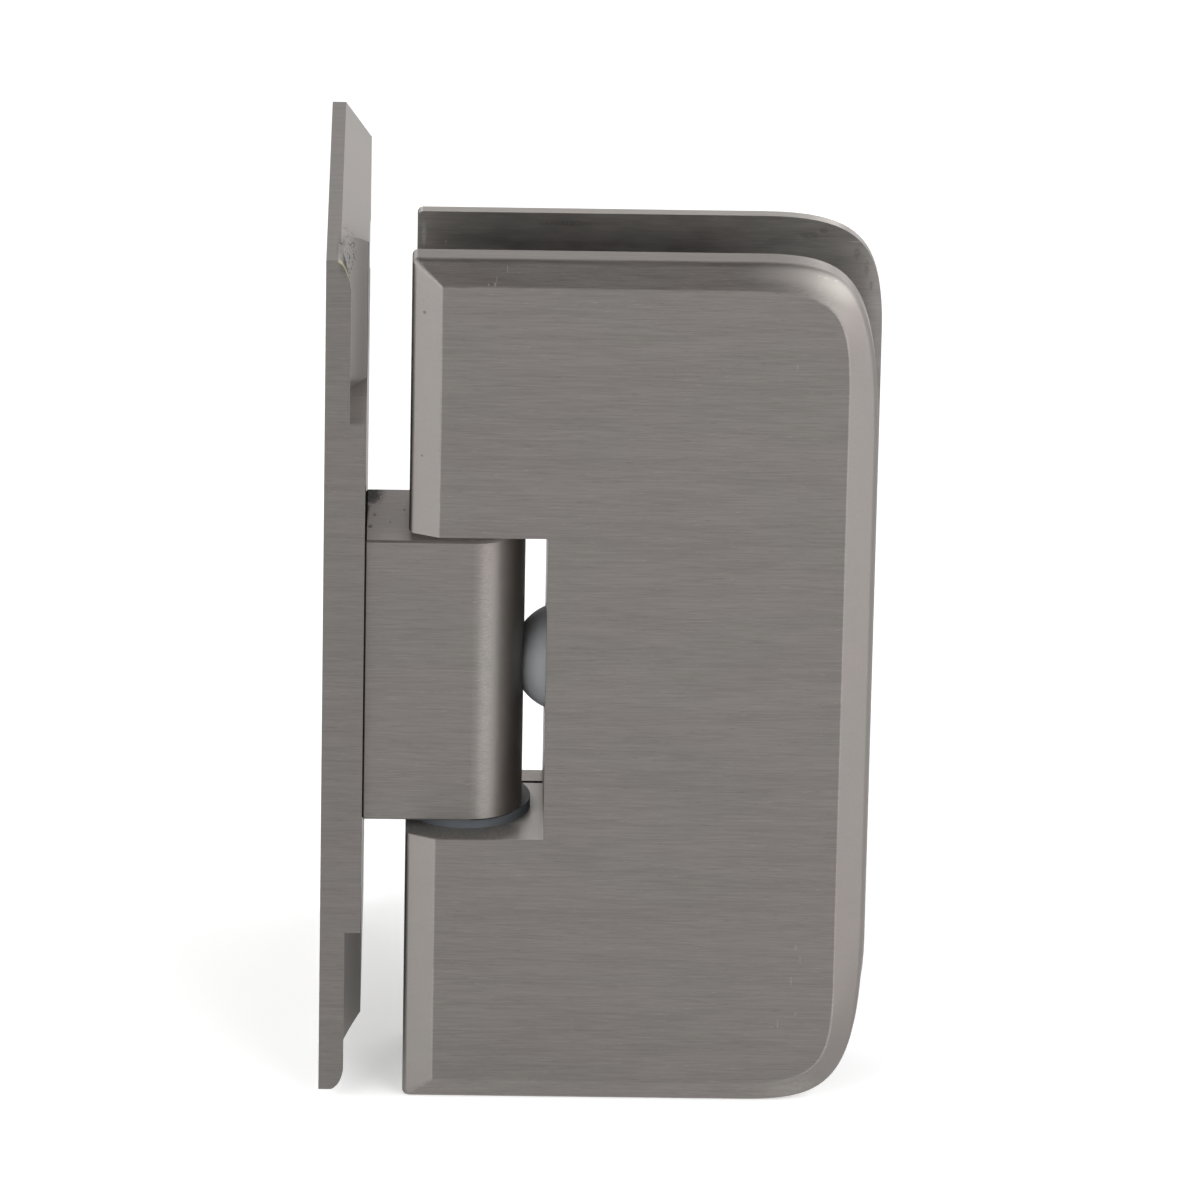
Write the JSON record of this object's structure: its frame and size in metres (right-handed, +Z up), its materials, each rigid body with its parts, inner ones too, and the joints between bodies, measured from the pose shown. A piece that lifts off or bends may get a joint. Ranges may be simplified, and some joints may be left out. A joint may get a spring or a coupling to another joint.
{
  "type": "shower door hinge",
  "caption": "Wall-to-glass shower door hinge: an offset wall plate with a knuckle block, and a bevelled glass clamp that swings on a vertical pin with a domed detent buffer.",
  "frame": {"origin": "on the wall face of the wall plate, at the height of the middle of the clamp and in the vertical plane through the pin axis that is square to the wall", "axes": "+X from the wall towards the glass door, +Y along the wall into the depth of the wall plate, +Z up, parallel to the pin"},
  "size_m": [0.0557, 0.0506, 0.09],
  "materials": {
    "brushed_nickel": "brushed, satin nickel plate",
    "screw_steel": "plain stainless steel",
    "pin_steel": "ground stainless steel",
    "white_nylon": "satin moulded nylon",
    "clear_gasket": "milky soft plastic sheet",
    "buffer_plastic": "satin white elastic plastic"
  },
  "bodies": {
    "wall_side": {"wall_plate": "brushed_nickel", "knuckle": "brushed_nickel", "knuckle_screw_upper": "screw_steel", "knuckle_screw_lower": "screw_steel", "upper_bush": "white_nylon", "lower_bush": "white_nylon", "upper_washer": "white_nylon"},
    "door_clamp": {"front_plate": "brushed_nickel", "rear_plate": "brushed_nickel", "front_gasket": "clear_gasket", "rear_gasket": "clear_gasket", "clamp_screw_upper": "screw_steel", "clamp_screw_lower": "screw_steel", "pin_grub_screw_upper": "screw_steel", "pin_grub_screw_lower": "screw_steel", "hinge_pin": "pin_steel", "lower_washer": "white_nylon", "detent_buffer": "buffer_plastic"}
  },
  "joints": [
    {"name": "door_swing", "type": "hinge", "parent": "wall_side", "child": "door_clamp", "pos_m": [0.0145, 0, 0], "axis": [0, 0, 1], "range_deg": [-90, 90], "deforming": ["detent_buffer"]}
  ]
}
